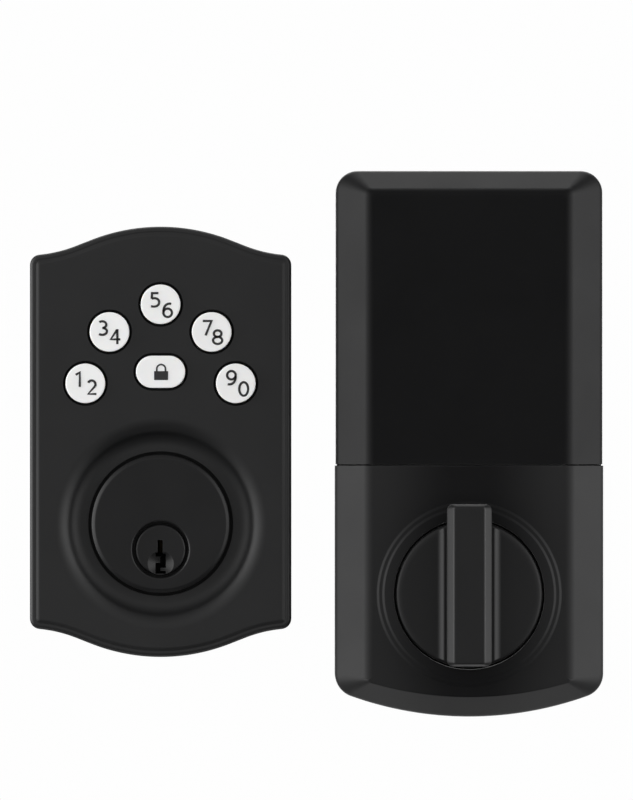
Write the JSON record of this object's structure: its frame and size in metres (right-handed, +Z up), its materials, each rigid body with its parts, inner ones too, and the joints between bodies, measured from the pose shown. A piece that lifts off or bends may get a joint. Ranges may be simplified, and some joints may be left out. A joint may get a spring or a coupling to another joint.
{
  "type": "keypad smart lock",
  "caption": "Motor-driven deadbolt lock in two halves: scalloped keypad plate with keyed cylinder, and battery housing with a thumbturn.",
  "frame": {"origin": "where the key plug's axis crosses the door face that the keypad half seats on", "axes": "+Z up, -Y out of the door towards the fronts of both halves, +X from the keypad half to the inside half"},
  "size_m": [0.1638, 0.126, 0.1559],
  "materials": {
    "keypad_black": "satin black powder coat",
    "inside_black": "satin black powder coat, finer than the keypad half",
    "cylinder_black": "satin black plated zinc",
    "key_white": "satin white moulded keys",
    "membrane": "translucent grey silicone",
    "gasket_rubber": "matt black foam rubber",
    "board": "green solder mask",
    "chip": "moulded black parts",
    "socket_plastic": "cream moulded socket",
    "steel": "zinc plated steel",
    "brass": "plain brass",
    "dark_plastic": "grained black moulding",
    "grey_casting": "die-cast, matt",
    "gear_plastic": "cream moulded gear plastic",
    "motor_can": "plated motor can",
    "lead_red": "red insulation",
    "cell_wrap": "plain printed-foil sleeve without marks",
    "button_red": "red moulded button"
  },
  "bodies": {
    "root": {"keypad_gasket": "gasket_rubber", "keypad_back_plate": "steel", "back_plate_screws": "steel", "keypad_housing": "keypad_black", "keypad_membrane": "membrane", "keypad_board": "board", "keypad_board_parts": "chip", "keypad_cable_socket": "socket_plastic", "keypad_board_screws": "steel", "cylinder_body": "cylinder_black", "cylinder_screws": "steel", "mounting_posts": "steel", "driver_pins": "brass", "pin_springs": "steel", "chamber_cap": "brass", "mounting_plate": "steel", "chassis": "grey_casting", "plate_screws": "steel", "gearbox_case": "dark_plastic", "gear_axles": "steel", "gear_motor": "motor_can", "motor_leads": "lead_red", "position_switch": "chip", "lower_housing": "inside_black", "housing_screws": "steel", "battery_tray": "dark_plastic", "batteries": "cell_wrap", "contact_springs": "steel", "contact_plates": "steel", "control_board": "board", "control_board_parts": "chip", "inside_cable_socket": "socket_plastic", "buzzer": "chip", "program_switch": "chip", "board_screws": "steel"},
    "key_1_2": {"key_1_2": "key_white"},
    "key_3_4": {"key_3_4": "key_white"},
    "key_5_6": {"key_5_6": "key_white"},
    "key_7_8": {"key_7_8": "key_white"},
    "key_9_0": {"key_9_0": "key_white"},
    "key_lock": {"key_lock": "key_white"},
    "plug": {"plug": "cylinder_black", "plug_cap": "steel", "tailpiece": "steel", "key_pins": "brass"},
    "thumbturn": {"thumbturn": "inside_black", "thumbturn_clip": "steel", "spindle": "steel", "output_gear": "gear_plastic", "sensor_cam": "dark_plastic"},
    "gear_b": {"gear_b": "gear_plastic"},
    "gear_c": {"gear_c": "gear_plastic"},
    "motor_pinion": {"motor_pinion": "brass"},
    "battery_cover": {"battery_cover": "inside_black"},
    "program_button": {"program_button": "button_red"}
  },
  "joints": [
    {"name": "key_1_2_press", "type": "slide", "parent": "root", "child": "key_1_2", "axis": [0, 1, 0], "range_m": [0, 0.0012], "stiffness_N_per_m": 400, "deforming": ["keypad_membrane"]},
    {"name": "key_3_4_press", "type": "slide", "parent": "root", "child": "key_3_4", "axis": [0, 1, 0], "range_m": [0, 0.0012], "stiffness_N_per_m": 400, "deforming": ["keypad_membrane"]},
    {"name": "key_5_6_press", "type": "slide", "parent": "root", "child": "key_5_6", "axis": [0, 1, 0], "range_m": [0, 0.0012], "stiffness_N_per_m": 400, "deforming": ["keypad_membrane"]},
    {"name": "key_7_8_press", "type": "slide", "parent": "root", "child": "key_7_8", "axis": [0, 1, 0], "range_m": [0, 0.0012], "stiffness_N_per_m": 400, "deforming": ["keypad_membrane"]},
    {"name": "key_9_0_press", "type": "slide", "parent": "root", "child": "key_9_0", "axis": [0, 1, 0], "range_m": [0, 0.0012], "stiffness_N_per_m": 400, "deforming": ["keypad_membrane"]},
    {"name": "key_lock_press", "type": "slide", "parent": "root", "child": "key_lock", "axis": [0, 1, 0], "range_m": [0, 0.0012], "stiffness_N_per_m": 400, "deforming": ["keypad_membrane"]},
    {"name": "plug_turn", "type": "hinge", "parent": "root", "child": "plug", "pos_m": [0, 0, 0], "axis": [0, -1, 0], "range_deg": [-90, 90]},
    {"name": "thumbturn_turn", "type": "hinge", "parent": "root", "child": "thumbturn", "pos_m": [0.0881, 0, -0.0126], "axis": [0, -1, 0], "range_deg": [-90, 90]},
    {"name": "gear_b_spin", "type": "hinge", "parent": "root", "child": "gear_b", "pos_m": [0.09824, 0, 0.00915], "axis": [0, -1, 0], "range_deg": [-365, 365]},
    {"name": "gear_c_spin", "type": "hinge", "parent": "root", "child": "gear_c", "pos_m": [0.08544, 0, 0.01141], "axis": [0, -1, 0], "range_deg": [-1210, 1210]},
    {"name": "motor_spin", "type": "hinge", "parent": "root", "child": "motor_pinion", "pos_m": [0.07548, 0, 0.01716], "axis": [0, -1, 0], "range_deg": [-4330, 4330]},
    {"name": "battery_cover_slide", "type": "slide", "parent": "root", "child": "battery_cover", "axis": [0, 0, 1], "range_m": [0, 0.088]},
    {"name": "program_button_press", "type": "slide", "parent": "root", "child": "program_button", "axis": [0, 1, 0], "range_m": [0, 0.0006], "stiffness_N_per_m": 400}
  ],
  "couplings": [
    {"joint": "gear_b_spin", "follows": "thumbturn_turn", "ratio": -4},
    {"joint": "gear_c_spin", "follows": "thumbturn_turn", "ratio": 13.333},
    {"joint": "motor_spin", "follows": "thumbturn_turn", "ratio": -48}
  ]
}
